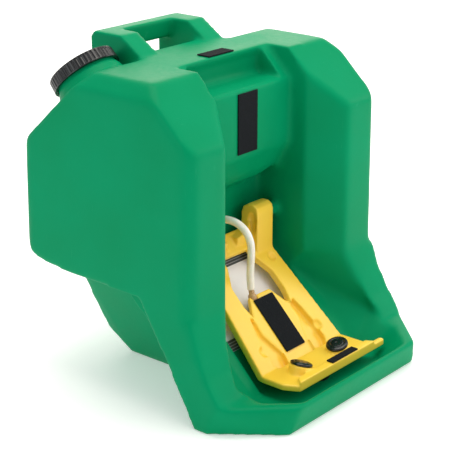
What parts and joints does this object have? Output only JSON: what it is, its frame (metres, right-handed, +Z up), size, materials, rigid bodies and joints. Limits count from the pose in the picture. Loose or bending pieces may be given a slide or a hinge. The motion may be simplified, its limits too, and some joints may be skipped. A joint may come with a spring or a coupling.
{
  "type": "eyewash station",
  "caption": "Portable gravity-fed eyewash station: moulded tank with filler cap, carry handle and catch bowl, and a hinged spray tray with capped nozzles.",
  "frame": {"origin": "on the flat underside, at the plane of the wings' front faces, midway between the sides", "axes": "+Z up, +Y towards the rear, -Y towards the person using it, +X to that person's right"},
  "size_m": [0.532, 0.55, 0.585],
  "materials": {
    "tank_green": "satin rotationally moulded polyethylene",
    "tray_yellow": "satin moulded plastic",
    "cap_black": "glossy moulded plastic",
    "rubber_black": "matt",
    "hook_loop": "woven loop pile",
    "pipe_grey": "smooth",
    "fitting_amber": "glossy",
    "pin_steel": "brushed",
    "bush_black": "smooth",
    "panel_white": "printed film",
    "panel_dark": "printed film",
    "tube_clear": "translucent silicone"
  },
  "bodies": {
    "tank": {"tank_body": "tank_green", "deck_strip": "hook_loop", "panel_strip": "hook_loop", "instruction_panel": "panel_white", "panel_header": "panel_dark", "panel_footer": "panel_dark", "supply_tube": "tube_clear", "tank_outlet_fitting": "pipe_grey", "outlet_gasket": "rubber_black", "outlet_nut": "pipe_grey", "hinge_pin_left": "pin_steel", "hinge_pin_right": "pin_steel", "hinge_bush_left": "bush_black", "hinge_bush_right": "bush_black", "drain_plug": "cap_black", "drain_seal": "rubber_black"},
    "tray": {"spray_tray": "tray_yellow", "tray_strip": "hook_loop", "ledge_strip": "hook_loop", "spray_manifold": "pipe_grey", "tray_inlet_fitting": "fitting_amber", "nozzle_left": "pipe_grey", "nozzle_right": "pipe_grey"},
    "cap_seal": {"cap_gasket": "rubber_black"},
    "cap": {"fill_cap": "cap_black"},
    "left_nozzle_cap": {"nozzle_cap_left": "cap_black"},
    "right_nozzle_cap": {"nozzle_cap_right": "cap_black"}
  },
  "joints": [
    {"name": "tray_hinge", "type": "hinge", "parent": "tank", "child": "tray", "pos_m": [0, 0.126, 0.253], "axis": [-1, 0, 0], "range_deg": [0, 135], "deforming": ["supply_tube"]},
    {"name": "cap_turn", "type": "hinge", "parent": "tank", "child": "cap_seal", "pos_m": [-0.172, 0.281, 0.499], "axis": [0, 0.6724, 0.7402], "range_deg": [0, 720]},
    {"name": "cap_lift", "type": "slide", "parent": "cap_seal", "child": "cap", "axis": [0, 0.6724, 0.7402], "range_m": [0, 0.012]},
    {"name": "left_nozzle_cap_pull", "type": "slide", "parent": "tray", "child": "left_nozzle_cap", "axis": [0.309, 0, 0.9511], "range_m": [0, 0.012]},
    {"name": "right_nozzle_cap_pull", "type": "slide", "parent": "tray", "child": "right_nozzle_cap", "axis": [-0.309, 0, 0.9511], "range_m": [0, 0.012]}
  ],
  "couplings": [
    {"joint": "cap_lift", "follows": "cap_turn", "m_per_rad": 0.00095493}
  ]
}
